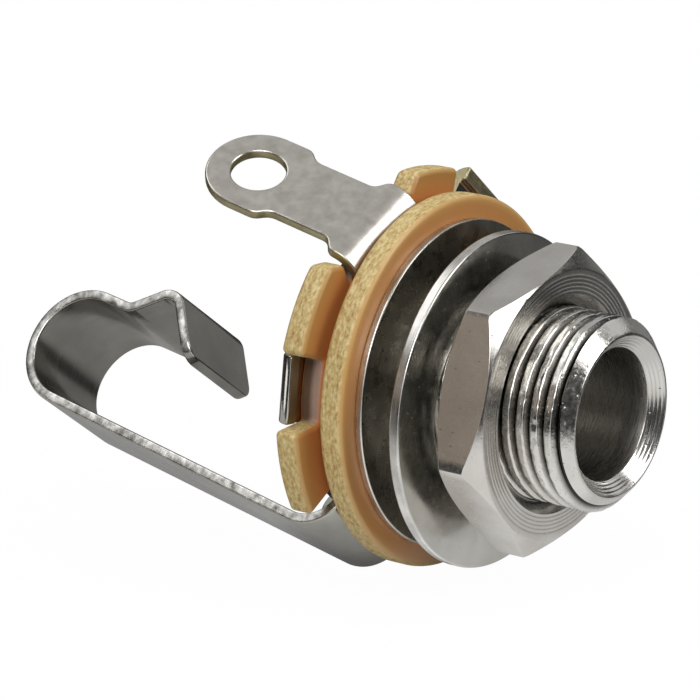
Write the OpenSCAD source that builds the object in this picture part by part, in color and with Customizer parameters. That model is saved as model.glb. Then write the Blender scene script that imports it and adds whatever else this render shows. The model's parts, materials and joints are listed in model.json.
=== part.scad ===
// Open-frame mono jack socket for a 6.35 mm plug.
// The jack axis is Y: the mouth faces -Y and +Z is up.
// The origin is the centre of the bushing flange's front face, where a panel seats.
// Clock angles are seen from the mouth, from +Z towards +X.

/* [Bushing] */
// Diameter over the thread crests
thread_d = 9.525; // [9:0.005:10]
// Diameter of the plug bore
bore_d = 6.5; // [6.4:0.05:6.8]
// Length of the barrel in front of the flange
barrel_len = 9.35; // [8:0.05:14]
// Diameter of the flange
flange_d = 16.25; // [14:0.05:17.5]
// Thickness of the flange
flange_t = 0.42; // [0.3:0.02:1]
// Diameter of the spigot that carries the stack
spigot_d = 8.4; // [8:0.05:9]
// Diameter of the rolled rim behind the stack
rolled_d = 10.6; // [9.6:0.1:11.4]
// Depth of the rolled rim
rolled_t = 0.62; // [0.4:0.02:1]

/* [Nut and washer] */
// Width of the nut across its flats
nut_af = 13.3; // [12.8:0.1:14]
// Thickness of the nut
nut_t = 2.55; // [2:0.05:3.2]
// Diameter of the turned face inside the nut's chamfer
nut_face_d = 13.3; // [12.5:0.05:13.6]
// Gap from the flange to the nut
nut_gap = 3.4; // [2.8:0.05:3.5]
// Clock angle of one of the nut's corners
nut_clock = 16.6; // [0:0.1:60]
// Diameter of the washer
washer_d = 16.6; // [15:0.1:18]
// Diameter of the washer's hole
washer_hole_d = 10.6; // [10.4:0.1:11]
// Thickness of the washer
washer_t = 0.56; // [0.4:0.02:0.8]
// Gap from the flange to the washer
washer_gap = 1.72; // [1.5:0.02:1.9]
// How far the loose washer hangs below the axis
washer_drop = 0.47; // [0:0.01:0.48]

/* [Insulating discs] */
// Thickness of both discs
disc_t = 1.3; // [1:0.05:1.6]
// Diameter of the front disc
front_disc_d = 18.5; // [17:0.1:19.5]
// Diameter of the notched rear disc
rear_disc_d = 20.6; // [19.5:0.1:21.5]
// Radius at the floor of the tab notches
tab_floor_r = 8.35; // [8.2:0.05:8.6]
// Radius at the floor of the lug and spring notches
arm_floor_r = 7; // [6.6:0.05:7.1]
// Clock angle of the notch at the top
top_notch_clock = 37.5; // [36:0.1:40]
// Clock angle of the notch at the foot
foot_notch_clock = 168; // [165:0.5:172]

/* [Tip contact] */
// Thickness of the contact strip
strip_t = 0.55; // [0.4:0.01:0.6]
// Diameter of the contact's ring
ring_d = 14.6; // [13.4:0.1:15.5]
// Clock angle of the solder lug
lug_clock = -24.8; // [-40:0.1:-10]
// Lean of the solder lug, outward from the axis
lug_lean = 16.8; // [0:0.1:30]
// Length of the lug from its bend to the eye's centre
lug_len = 6.05; // [5:0.05:9]
// Radius of the lug's eye
eye_r = 2.6; // [2.2:0.05:3]
// Diameter of the hole in the lug's eye
eye_hole_d = 2.72; // [2:0.02:3.2]
// Half width of the lug's shank
shank_w = 2.05; // [1.6:0.05:2.2]
// Half width of the lug's root
root_w = 2.75; // [2.4:0.05:2.9]
// Clock angle of the spring arm
spring_clock = 216.5; // [200:0.1:230]
// Width of the spring arm
spring_w = 6.14; // [5:0.02:6.4]
// Lean of the spring arm, inward to the axis
arm_lean = 10.4; // [6:0.1:14]
// Length of the straight spring arm
arm_len = 17.3; // [15:0.01:19]
// Inside radius of the curl at the arm's end
curl_r = 2.65; // [2.2:0.05:3.2]
// Angle that the curl turns through
curl_turn = 179; // [165:0.5:190]
// Straight length from the curl to the valley
neck_len = 1.41; // [1:0.01:2]
// Angle that the valley turns back
valley_turn = 40.4; // [25:0.2:50]
// Straight length from the valley to the contact crest
rise_len = 1.63; // [1:0.01:2.4]
// Angle that the contact crest turns through
crest_turn = 88; // [70:0.5:100]
// Length of the lead-in ramp
ramp_len = 3.1; // [2:0.05:4]

/* [Sleeve terminal] */
// Thickness of the terminal's sheet
term_t = 0.77; // [0.5:0.01:0.9]
// Clock angle of the tab at the side
side_tab_clock = 277.5; // [270:0.1:284]
// Half width of the side tab
side_tab_w = 1.68; // [1:0.02:1.75]
// Radius of the side tab's outer face
side_tab_r = 9.45; // [9.3:0.01:9.8]
// Clock angle of the tab at the top
top_tab_clock = 41; // [36:0.1:46]
// Half width of the top tab
top_tab_w = 2.05; // [1.5:0.05:2.4]
// Radius of the top tab's outer face
top_tab_r = 10.62; // [10:0.01:10.8]
// Clock angle of the terminal's own solder lug
term_lug_clock = 158; // [150:0.5:168]
// Lean of the terminal's solder lug, outward from the axis
term_lug_lean = 6; // [0:0.5:16]
// Length of the terminal's lug from its bend to the eye's centre
term_lug_len = 3.2; // [3:0.05:4]

/* [Hidden] */
$fn = 96;

nickel = [0.74, 0.74, 0.72];
spring_nickel = [0.62, 0.62, 0.60];
phenolic = [0.62, 0.40, 0.22];
fibre = [0.72, 0.62, 0.48];

thread_r = thread_d / 2;
bore_r = bore_d / 2;
spigot_r = spigot_d / 2;
// Clearance round the spigot, for pieces that it carries
slip = 0.05;
// The stack's planes, from the flange's rear face backwards
y_front_disc = flange_t;
y_strip = y_front_disc + disc_t;
y_rear_disc = y_strip + strip_t;
y_term = y_rear_disc + disc_t;
y_roll = y_term + term_t;
y_end = y_roll + rolled_t;
// Lip of the mouth, between the lead-in and the thread's end round
lip_r = 4;
lead_in = lip_r - bore_r;
// Insulating tube between the spigot and the tip contact's ring
tube_r = 5.2;
// Inside radius of the tip contact's bends
spring_bend_r = 1.83;
lug_bend_r = 1.2;
valley_r = 0.625;
crest_r = 0.675;
// Where the lug's bend and the spring's bend leave the plane of the ring
lug_foot = 8.01;
spring_foot = 7.13;
ramp_corner_r = 0.9;
// Radius inside the rings at which the strips start
ring_in = 6;
// How far a lug's outline reaches back over its bend
lug_back = -8;
// Straight length of the spring's foot past its bend, up to the spring arm
foot_tail = 0.3;
// The rings are coined this much proud of the strips, on each face
proud = 0.01;
tip_y = y_strip + proud;
tip_t = strip_t - 2 * proud;
sleeve_y = y_term + proud;
sleeve_t = term_t - 2 * proud;
// Largest step of a drawn bend, in degrees
bend_step = 6;
// Bends of the sleeve terminal's tabs and lug
tab_bend_r = 0.23;
tab_tail = 0.02;
term_bend_r = 0.8;
term_foot = 8.1;

// A cylinder along the jack axis, from plane y0 to plane y1
module axial(y0, y1, r) {
    translate([0, y0, 0])
        rotate([-90, 0, 0])
            cylinder(h = y1 - y0, r = r);
}

// A body turned about the jack axis from a profile of [radius, y] points
module turned(points) {
    rotate([-90, 0, 0])
        rotate_extrude()
            polygon(points);
}

// Places children at a clock angle: X tangent, Y along the axis, Z outward
module at_clock(angle) {
    rotate([0, angle, 0])
        children();
}

// Direction of a heading, and the normal to its left
function ahead(h) = [cos(h), sin(h)];
function left(h) = [-sin(h), cos(h)];

// Frames [x, y, heading] along a folded strip of [length, bend angle, inside radius] steps
function fold(steps, t, f = [0, 0, 0], i = 0) =
    i == len(steps) ? [f] :
    let (
        a = steps[i][1],
        s = sign(a),
        r = a > 0 ? steps[i][2] + t : steps[i][2],
        p = [f[0], f[1]] + steps[i][0] * ahead(f[2]),
        n = ceil(abs(a) / bend_step),
        arc = [for (k = [0 : n])
            let (h = f[2] + a * k / n, q = p + s * r * (left(f[2]) - left(h))) [q[0], q[1], h]]
    )
    concat([f], [for (k = [0 : n - 1]) arc[k]], fold(steps, t, arc[n], i + 1));

// Outline of a folded strip, from its frames and a last straight length
function strip_outline(frames, t, tail) =
    let (
        last = frames[len(frames) - 1],
        tip = [last[0], last[1]] + tail * ahead(last[2]),
        base = concat([for (f = frames) [f[0], f[1]]], [tip]),
        heads = concat([for (f = frames) f[2]], [last[2]]),
        n = len(base)
    )
    concat(base, [for (k = [1 : n]) base[n - k] + t * left(heads[n - k])]);

// Places a side profile at a clock angle: X outward, Y to the rear
module profile_at(angle, y, r, w) {
    at_clock(angle)
        translate([0, y, r])
            rotate([0, -90, 0])
                linear_extrude(height = w, center = true)
                    children();
}

// Places a flat outline in the plane of a folded strip's frame, as a prism through it
module flat_at(angle, y, r, frame, depth) {
    at_clock(angle)
        translate([0, y, r])
            rotate([-90, -90, 0])
                translate([frame[0], 0, frame[1]])
                    rotate([0, -frame[2], 0])
                        linear_extrude(height = depth, center = true)
                            children();
}

// A corner b of an outline, between its neighbours a and c, rounded over a length
function soft(a, b, c, cut) =
    let (p = b + cut * (a - b) / norm(a - b), q = b + cut * (c - b) / norm(c - b))
    [for (k = [0 : 4]) let (u = k / 4) (1 - u) * (1 - u) * p + 2 * u * (1 - u) * b + u * u * q];

// One side of a solder lug's outline, from its root to beside the eye
function lug_side(reach, s) =
    let (p = [[lug_back, s * root_w], [reach - 5.85, s * root_w], [reach - 5.35, s * shank_w],
              [reach - 2.05, s * shank_w], [reach - 1.45, s * eye_r], [reach, s * eye_r]])
    concat([p[0]], [for (k = [1 : 4]) each soft(p[k - 1], p[k], p[k + 1], 0.3)], [p[5]]);

// Flat outline of a solder lug along X: root, shank, and an eye with its hole
module lug_outline(reach) {
    one = lug_side(reach, -1);
    other = lug_side(reach, 1);
    difference() {
        union() {
            polygon(concat(one, [for (k = [1 : len(other)]) other[len(other) - k]]));
            translate([reach, 0])
                circle(eye_r);
        }
        translate([reach, 0])
            circle(d = eye_hole_d);
    }
}

// A lug bent to the rear from a ring: its side profile, cut to the flat outline
module bent_lug(angle, y, foot, lean, bend_r, reach, t) {
    frames = fold([[foot - ring_in, 90 - lean, bend_r]], t);
    intersection() {
        profile_at(angle, y, ring_in, 4 * root_w)
            polygon(strip_outline(frames, t, reach + 2 * eye_r));
        flat_at(angle, y, ring_in, frames[len(frames) - 1], 40)
            lug_outline(reach);
    }
}

// Ring of a stamped contact, between two planes
module ring(y0, y1, hole_r) {
    difference() {
        axial(y0, y1, ring_d / 2);
        axial(y0 - 1, y1 + 1, hole_r);
    }
}

// What is cut away to round the two corners at the end of a strip
module corner_cut(reach, w, r) {
    past = 1;
    arc_r = 1.03 * r;
    for (s = [-1, 1])
        polygon(concat([[reach + past, s * (w / 2 - r)], [reach + past, s * (w / 2 + past)],
                        [reach - r, s * (w / 2 + past)]],
                       [for (a = [90 : -15 : 0])
                           [reach - r + arc_r * cos(a), s * (w / 2 - r + arc_r * sin(a))]]));
}

// The sector of a disc between two clock angles, from a floor radius outwards
module sector_notch(y0, y1, middle, half, floor_r) {
    reach = rear_disc_d;
    at_clock(middle)
        difference() {
            translate([0, y1, 0])
                rotate([90, 0, 0])
                    linear_extrude(y1 - y0)
                        polygon([[0, 0], [-reach * tan(half), reach], [reach * tan(half), reach]]);
            axial(y0 - 1, y1 + 1, floor_r);
        }
}

// A slot in a disc's rim as wide as a lug's root, flared outwards from its neck
module flared_notch(y0, y1, middle, half_w, floor_r, neck_r) {
    flare = 3;
    wide = half_w + flare;
    mouth_r = neck_r + 0.55 * flare;
    at_clock(middle)
        translate([0, y1, 0])
            rotate([90, 0, 0])
                linear_extrude(y1 - y0)
                    polygon([[-half_w, floor_r], [-half_w, neck_r], [-wide, mouth_r], [-wide, rear_disc_d],
                             [wide, rear_disc_d], [wide, mouth_r], [half_w, neck_r], [half_w, floor_r]]);
}

// Turned bushing: threaded barrel, flange, spigot and the rim rolled over the stack
module bushing() {
    mouth = -barrel_len;
    color(nickel)
        turned([[bore_r, mouth + 0.8 * lead_in], [bore_r + 0.3 * lead_in, mouth + 0.4 * lead_in],
                [lip_r - 0.3 * lead_in, mouth + 0.12 * lead_in], [lip_r, mouth],
                [lip_r + 0.4, mouth + 0.1], [thread_r - 0.12, mouth + 0.34],
                [thread_r, mouth + 0.55], [thread_r, 0], [flange_d / 2 - 0.06, 0],
                [flange_d / 2, 0.06], [flange_d / 2, flange_t - 0.06],
                [flange_d / 2 - 0.06, flange_t], [spigot_r, flange_t], [spigot_r, y_roll],
                [rolled_d / 2 - 0.1, y_roll], [rolled_d / 2, y_roll + 0.16],
                [rolled_d / 2 - 0.25, y_roll + 0.45], [spigot_r, y_end],
                [bore_r + 0.35, y_end], [bore_r, y_end - 0.35]]);
}

// Loose flat washer, hanging on the thread
module flat_washer() {
    front = -washer_gap - washer_t;
    back = -washer_gap;
    round_in = 0.1;
    r = washer_d / 2;
    h = washer_hole_d / 2;
    color(nickel)
        translate([0, 0, -washer_drop])
            turned([[h, front + round_in], [h + round_in, front], [r - round_in, front],
                    [r, front + round_in], [r, back - round_in], [r - round_in, back],
                    [h + round_in, back], [h, back - round_in]]);
}

// Hexagon nut, chamfered on both faces
module hex_nut() {
    front = -nut_gap - nut_t;
    back = -nut_gap;
    face_r = nut_face_d / 2;
    corner_r = nut_af / cos(30) / 2 + 0.2;
    chamfer = (corner_r - face_r) * tan(30);
    thread_clear = thread_r + 0.04;
    sink_r = thread_r + 0.6;
    sink = 0.5;
    color(nickel)
        difference() {
            intersection() {
                turned([[0, front], [face_r, front], [corner_r, front + chamfer],
                        [corner_r, back - chamfer], [face_r, back], [0, back]]);
                at_clock(nut_clock)
                    translate([0, back, 0])
                        rotate([90, 30, 0])
                            cylinder(h = nut_t, d = nut_af / cos(30), $fn = 6);
            }
            axial(front - 1, back + 1, thread_clear);
            turned([[0, front - 0.01], [sink_r + 0.01, front - 0.01], [thread_clear, front + sink],
                    [0, front + sink]]);
            turned([[0, back + 0.01], [sink_r + 0.01, back + 0.01], [thread_clear, back - sink],
                    [0, back - sink]]);
        }
}

// Plain phenolic disc behind the flange
module front_insulator() {
    color(phenolic)
        difference() {
            axial(y_front_disc, y_strip, front_disc_d / 2);
            axial(y_front_disc - 1, y_strip + 1, spigot_r + slip);
        }
}

// Insulating tube that keeps the tip contact off the spigot
module spacer_tube() {
    color(fibre)
        difference() {
            axial(y_strip, y_rear_disc, tube_r);
            axial(y_strip - 1, y_rear_disc + 1, spigot_r + slip);
        }
}

// Frames of the spring's foot, and where the arm goes on from it
foot_frames = fold([[spring_foot - ring_in, 90 + arm_lean, spring_bend_r]], tip_t);
foot_end = foot_frames[len(foot_frames) - 1];
arm_start = [foot_end[0] + foot_tail * cos(foot_end[2]), foot_end[1] + foot_tail * sin(foot_end[2]),
             foot_end[2]];
// Frames of the spring: arm, curl, valley and crest
arm_frames = fold([[arm_len - foot_tail, curl_turn, curl_r], [neck_len, -valley_turn, valley_r],
                   [rise_len, crest_turn, crest_r]], tip_t, arm_start);

// Tip contact up to the spring's foot: ring, solder lug and foot bend
module tip_contact() {
    color(spring_nickel) {
        ring(y_strip, y_rear_disc, tube_r + slip);
        bent_lug(lug_clock, tip_y, lug_foot, lug_lean, lug_bend_r, lug_len, tip_t);
        profile_at(spring_clock, tip_y, ring_in, spring_w)
            polygon(strip_outline(foot_frames, tip_t, foot_tail));
    }
}

// Spring of the tip contact, of one stamping with it: arm, curl, crest and lead-in ramp
module tip_spring() {
    color(spring_nickel)
        difference() {
            profile_at(spring_clock, tip_y, ring_in, spring_w)
                polygon(strip_outline(arm_frames, tip_t, ramp_len));
            flat_at(spring_clock, tip_y, ring_in, arm_frames[len(arm_frames) - 1], 3)
                corner_cut(ramp_len, spring_w, ramp_corner_r);
        }
}

// Notched phenolic disc: the lug, the spring and the terminal's tabs pass its rim
module rear_insulator() {
    y0 = y_rear_disc - 1;
    y1 = y_term + 1;
    color(phenolic)
        difference() {
            axial(y_rear_disc, y_term, rear_disc_d / 2);
            axial(y0, y1, spigot_r + slip);
            flared_notch(y0, y1, lug_clock, root_w + 0.1, lug_foot - 0.06, lug_foot + 0.99);
            sector_notch(y0, y1, spring_clock, 25, arm_floor_r);
            sector_notch(y0, y1, side_tab_clock, 10.6, tab_floor_r);
            sector_notch(y0, y1, top_notch_clock, 21, tab_floor_r);
            sector_notch(y0, y1, foot_notch_clock, 24, tab_floor_r);
        }
}

// A tab of the sleeve terminal, bent forward round the disc's edge
module keyed_tab(angle, half_w, r) {
    foot = r - tab_bend_r - sleeve_t;
    frames = fold([[foot - ring_in, -90, tab_bend_r]], sleeve_t);
    profile_at(angle, sleeve_y, ring_in, 2 * half_w)
        polygon(strip_outline(frames, sleeve_t, tab_tail));
}

// Sleeve terminal, stamped in one piece: ring, two keyed tabs and a solder lug
module sleeve_terminal() {
    color(nickel) {
        ring(y_term, y_roll, spigot_r + slip);
        keyed_tab(side_tab_clock, side_tab_w, side_tab_r);
        keyed_tab(top_tab_clock, top_tab_w, top_tab_r);
        bent_lug(term_lug_clock, sleeve_y, term_foot, term_lug_lean, term_bend_r, term_lug_len,
                 sleeve_t);
    }
}

bushing();
flat_washer();
hex_nut();
front_insulator();
tip_contact();
tip_spring();
spacer_tube();
rear_insulator();
sleeve_terminal();
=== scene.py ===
"""Open-frame mono jack socket: the finish of its pieces, and a plain white studio."""
import json
import math

import bpy
from mathutils import Matrix, Vector, noise

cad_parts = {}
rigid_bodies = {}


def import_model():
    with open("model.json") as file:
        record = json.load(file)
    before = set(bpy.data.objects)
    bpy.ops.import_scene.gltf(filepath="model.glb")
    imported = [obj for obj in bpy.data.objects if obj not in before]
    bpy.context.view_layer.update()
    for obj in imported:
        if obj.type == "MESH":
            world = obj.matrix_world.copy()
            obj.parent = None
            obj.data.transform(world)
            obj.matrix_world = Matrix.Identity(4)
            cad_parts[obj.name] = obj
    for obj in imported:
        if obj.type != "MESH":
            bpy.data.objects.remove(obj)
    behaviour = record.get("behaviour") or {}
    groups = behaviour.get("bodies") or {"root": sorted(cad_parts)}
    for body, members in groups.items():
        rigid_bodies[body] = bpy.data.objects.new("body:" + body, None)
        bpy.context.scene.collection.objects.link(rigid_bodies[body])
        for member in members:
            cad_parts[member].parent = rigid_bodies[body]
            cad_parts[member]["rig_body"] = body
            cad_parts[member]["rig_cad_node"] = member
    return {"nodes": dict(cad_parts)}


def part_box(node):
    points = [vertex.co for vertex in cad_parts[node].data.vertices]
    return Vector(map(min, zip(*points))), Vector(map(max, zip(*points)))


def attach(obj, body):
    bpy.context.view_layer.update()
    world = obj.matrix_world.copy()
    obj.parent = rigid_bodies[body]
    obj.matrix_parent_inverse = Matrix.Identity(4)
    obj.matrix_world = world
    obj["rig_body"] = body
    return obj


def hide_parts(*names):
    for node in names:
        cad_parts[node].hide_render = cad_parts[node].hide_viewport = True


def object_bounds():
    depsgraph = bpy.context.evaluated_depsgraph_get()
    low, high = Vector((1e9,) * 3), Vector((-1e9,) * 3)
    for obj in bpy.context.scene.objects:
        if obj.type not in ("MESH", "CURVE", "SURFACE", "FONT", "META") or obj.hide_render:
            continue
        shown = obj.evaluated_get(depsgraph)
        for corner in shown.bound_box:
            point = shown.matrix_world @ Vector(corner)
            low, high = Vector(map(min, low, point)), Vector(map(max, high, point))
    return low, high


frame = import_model()
CAD_LOW, CAD_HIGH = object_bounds()

# Lengths are in millimetres, and MM turns them to metres.
MM = 0.001
# Points nearer to each other than this are one point
SAME_POINT = 0.001
# Steps round a turned piece, and on the arc of a rounded edge
SEGMENTS = 180
EDGE_STEPS = 4
# Width of flat that keeps a face's shading flat beside its rounded edge
FLAT_MARGIN = 0.04
# In a copied CAD mesh: the shortest edge that is rounded, the angle up to which faces are one flat,
# and the angle of a sharp edge
SHORTEST_EDGE = 0.05
FLAT_ANGLE = math.radians(0.4)
SHARP_ANGLE = math.radians(35)

# Camera: where it looks, from which side, and how far off it stands
AIM = Vector((-2.91, 4.60, 1.56)) * MM
AZIMUTH = math.radians(-52.98)
ELEVATION = math.radians(16.09)
DISTANCE = 195.5 * MM
LENS = 205.7
SENSOR = 36

# Thread of the bushing, 32 turns to the inch
PITCH = 25.4 / 32
THREAD_R = 4.7625
THREAD_DEPTH = 0.42
THREAD_FRONT = -9.05
THREAD_BACK = -0.45
# Length over which it fades out at its back end, and the plain radius there
THREAD_FADE = 0.3
THREAD_PLAIN_R = 4.62
# Where the thread's crest lies at the top of the barrel, and the turns drawn ahead of it,
# which the mouth cuts off
THREAD_CREST = -8.91
THREAD_RUN_IN = 2
# Height of the thread along one pitch, (share of the pitch, share of the depth), and the middle of its crest
THREAD_FORM = [(0, 0), (0.05, 0.03), (0.23, 0.8), (0.26, 0.91), (0.3, 0.975), (0.38, 0.997), (0.52, 1),
               (0.66, 0.997), (0.74, 0.975), (0.78, 0.91), (0.81, 0.8), (0.98, 0.03)]
CREST_SHARE = 0.52
# Size and depth of the chips that the die leaves in the crests
CHIP = 0.22
CHIP_DEPTH = 0.07
# Size and depth of the unevenness along them
WAVE = 0.7
WAVE_DEPTH = 0.025
# Painted shade down in the grooves of the thread: the radius up to which it is full, and the one where it
# ends
GROOVE_SHADE_R = (4.4, 4.64)

# Mouth of the bushing: where it lies, and the outer radius of its lip, where the chamfer starts
MOUTH_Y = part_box("bushing")[0].y / MM
LIP_R = 4.02
# Rounding of the lip, as (radius, depth behind the mouth), and the depths of two rings on the chamfer
LIP = [(3.88, 0.012), (3.92, 0), (4, 0.006)]
CHAMFER_RINGS = (0.03, 0.15)
# Radius from which the mouth has its torn finish
TORN_R = 3.9
# Lead-in of the bore: its depths at the bore and at the lip, its inner radius and its width
LEAD_IN = 0.6
LEAD_IN_LIP = 0.05
LEAD_IN_R = 3.27
LEAD_IN_W = 0.58
LEAD_IN_STEPS = 20
# Ring marks of the tool in the lead-in, drawn coarser than the real ones: steps to a mark, and its depth
MARK_STEPS = 5
MARK_DEPTH = 0.012
# Bore: its radius, the gap to the lead-in, and the rings along it
BORE_R = 3.25
BORE_GAP = 0.04
BORE_RINGS = 10
BORE_STEP = 1.2
# Undercut between thread and flange, its corner, and the flange's rounded edge
UNDERCUT = 0.1
UNDERCUT_CORNER = 0.02
FLANGE_EDGE = 0.09
# Spigot behind the flange, the sleeve terminal's sheet, and the spigot's rim, rolled over that sheet:
# its outer radius there, the middle of its rounding, the rounding, and its steps
SPIGOT_R = 4.2
TERMINAL_T = 0.77
ROLL_FOOT_R = 5.2
ROLL_MIDDLE_R = 5.05
ROLL_MIDDLE = 0.22
ROLL_EDGE = 0.25
ROLL_STEPS = 6
# Rear end of the spigot, as (radius, depth in front of its end)
SPIGOT_END = [(4.3, 0), (3.6, 0), (3.35, 0.1), (3.25, 0.35)]
# How near its surface a face's middle lies to have that surface's finish: on a rim, on the chamfer,
# and elsewhere
NEAR_RIM = 0.02
NEAR_CHAMFER = 0.03
NEAR_FACE = 0.05
# Gap that is closed where the thread joins the barrel
THREAD_WELD = 0.004

# Nut: one corner's clock angle, half its width, its faces' radius, its bore with the countersink, its chamfer
# with the shares of it where rings lie, and how sharp its corners are
NUT_CLOCK = math.radians(16.6)
NUT_APOTHEM = 6.65
NUT_FACE_R = 6.6
NUT_BORE_R = 4.8025
NUT_SINK_R = 5.36
NUT_SINK = 0.5
NUT_CHAMFER = math.radians(30)
NUT_CHAMFER_RINGS = (0.06, 0.5, 0.96)
NUT_CORNER_SHARPNESS = 90
# Its edges: rounding, drop of the face's rim, and the countersink's edge as (distance outwards, depth)
NUT_EDGE = 0.05
NUT_RIM_DROP = 0.01
NUT_SINK_EDGE = [(-0.03, 0.04), (0.02, 0)]
# Grooves of the tool on its faces, drawn coarser than the real ones, and the flats inside and outside them
GROOVE_PITCH = 0.19
GROOVE_DEPTH = 0.018
GROOVE_STEPS = 4
GROOVE_INNER_FLAT = 0.05
GROOVE_OUTER_FLAT = 0.12

# Washer: the radius of its hole, and its rounded edge
WASHER_HOLE_R = 5.3
WASHER_EDGE = 0.09

# Insulating discs: their radii, the front one's hole and their rounded edges
FRONT_DISC_R = 9.25
REAR_DISC_R = 10.3
DISC_HOLE_R = 4.25
FRONT_DISC_EDGE = 0.26
REAR_DISC_EDGE = 0.28
# How far in from the rim the faces' colour changes with painted light and shade, the size of the clumps of
# paper fibre, and how many times longer they are round the rim
FACE_SHADE_DEPTH = 1.9
FIBRE_SIZE = 0.15
FIBRE_STRETCH = 2
# Floors of the notches: the radii between which they turn into the rim, and where along y their painted
# shadow turns to painted light
NOTCH_R = (8.4, 8.7)
NOTCH_SHADOW_Y = (3, 2.7)

# Lug of the tip contact: its clock angle, its lean outward from the axis, where it starts,
# and where its bend ends
LUG_CLOCK = math.radians(-24.8)
LUG_LEAN = math.radians(16.8)
LUG_FOOT_Z = 6
LUG_BEND_Y = 4.4

# Spring of the tip contact: its clock angle, its strip's width, thickness and rounded edge,
# and where the strip's front face lies in the stack
SPRING_CLOCK = math.radians(216.5)
SPRING_W = 6.14
STRIP_T = 0.53
STRIP_EDGE = 0.12
STRIP_EDGE_STEPS = 3
STRIP_FRONT = 1.73
# Radius of the contacts' rings, which the stack hides
STACK_R = 7.35
# Radius where the foot's bend starts, and the straight length from that bend to the cut
FOOT_R = 7.13
FOOT_TAIL = 0.3
# Bends of the strip: (straight length before it, angle, inside radius), and the angle of one step
FOOT_BEND = (0, 100.4, 1.83)
SPRING_BENDS = [(17, 179, 2.65), (1.41, -40.4, 0.625), (1.63, 88, 0.675)]
BEND_STEP = 2.5
# Ramp at the strip's end, and its rounded corners
RAMP_LEN = 3.1
RAMP_CORNER_R = 0.9
RAMP_CORNER_STEPS = 8
# How near the cut between foot and spring a point lies on it, and the gap that is closed there
NEAR_CUT = 0.005
STRIP_WELD = 0.015

# Tabs of the sleeve terminal: the radius outside which they show, and how far back they reach
TAB_R = 8.2
TAB_BACK = 5
# How squarely a face looks sideways, or away from the sheet's flat, to be a sheared edge
LUG_SIDEWAYS = 0.6
SPRING_SIDEWAYS = 0.85
TAB_SIDEWAYS = 0.5

# Floor: its radius, its middle, and its gap below the socket
FLOOR_R = 45
FLOOR_MIDDLE = (2, 4)
FLOOR_GAP = 0.05
# Its painted light and shade: graded along an axis as (axis, start, end, share at the start, share at the
# end), and darker in round spots of painted shade as (x, y, inner radius, outer radius, share inside)
FLOOR_GRADES = [("Y", -2, 8, 0.9, 0.4), ("X", -4, 2, 1.4, 0.78)]
FLOOR_SHADE_SPOTS = [(36, -3, 12, 30, 0.05), (0, 4, 3, 8, 0.25)]
# How much of its shade shows in mirrors, how much lights the socket, and how white the camera sees it
FLOOR_MIRRORED = 0.8
FLOOR_LIT = 0.6
FLOOR_SEEN = 0.975
# Dim walls round it, and how much of the white that the camera sees there shows in mirrors
WALLS = 0.02
WALLS_MIRRORED = 0.02
# Panels of light: (name, direction from the socket, distance, size, colour, strength)
PANELS = [("ceiling", (0.2, 0.15, 1), 200, (240, 240), "#ffffff", 0.59),
          ("key", (0.26, -0.8, 0.55), 200, (95, 160), "#ffffff", 4.6),
          ("fill", (-0.72, -0.32, 0.62), 250, (170, 170), "#ffffff", 4.8),
          ("rear_top", (-0.12, 0.58, 0.8), 200, (130, 110), "#ffffff", 1.9),
          ("rear_left_top", (-0.49, 0.58, 0.65), 200, (70, 70), "#ffffff", 1.6),
          ("rear_left", (-0.8, 0.56, 0.28), 200, (120, 70), "#b4a89c", 0.9),
          ("rear_right", (0.6, 0.6, 0.55), 200, (140, 120), "#ffffff", 0.52),
          ("right_top", (0.77, -0.28, 0.58), 200, (100, 100), "#ffffff", 0.75),
          ("right", (1, 0, 0.05), 200, (120, 100), "#ffffff", 0.25),
          ("low_front", (-0.74, -0.62, -0.24), 200, (60, 60), "#ffffff", 1.4),
          ("front_right", (0.77, -0.64, -0.12), 42, (9, 10), "#ffffff", 0.15),
          ("left", (-0.9, -0.38, 0.04), 200, (120, 140), "#ffffff", 0.55),
          ("rear_low", (-0.46, 0.88, -0.12), 200, (50, 50), "#ffffff", 1.6)]


def clock_direction(angle):
    """Outward direction at a clock angle, from +Z towards +X."""
    return Vector((math.sin(angle), 0, math.cos(angle)))


def clock_tangent(angle):
    """Direction round the axis at a clock angle."""
    return Vector((math.cos(angle), 0, -math.sin(angle)))


# Modelling

def deselect():
    """Leaves object mode on, with nothing selected."""
    if bpy.context.mode != "OBJECT":
        bpy.ops.object.mode_set(mode="OBJECT")
    bpy.ops.object.select_all(action="DESELECT")


def pick(piece):
    """Selects one piece and makes it the active one."""
    deselect()
    piece.select_set(True)
    bpy.context.view_layer.objects.active = piece


def edit(piece):
    """Opens a piece in edit mode, by itself, with all of it selected."""
    pick(piece)
    bpy.ops.object.mode_set(mode="EDIT")
    bpy.ops.mesh.select_all(action="SELECT")


def close_up(piece, gap=SAME_POINT):
    """Merges doubled points and turns the faces outwards."""
    edit(piece)
    bpy.ops.mesh.remove_doubles(threshold=gap * MM)
    bpy.ops.mesh.normals_make_consistent(inside=False)
    bpy.ops.object.mode_set(mode="OBJECT")


def weld(piece, other, gap):
    """Joins another piece to a piece, and closes the gap between them."""
    pick(piece)
    other.select_set(True)
    bpy.ops.object.join()
    close_up(piece, gap)


def smooth(piece, degrees):
    """Shades a piece smooth up to an angle between its faces."""
    pick(piece)
    bpy.ops.object.shade_smooth_by_angle(angle=math.radians(degrees))


def hold_normals(piece, degrees):
    """Shades a piece smooth, with its large faces kept flat up to their rounded edges."""
    smooth(piece, degrees)
    normals = piece.modifiers.new("normals", "WEIGHTED_NORMAL")
    normals.keep_sharp = True
    bpy.ops.object.modifier_apply(modifier="normals")


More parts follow.
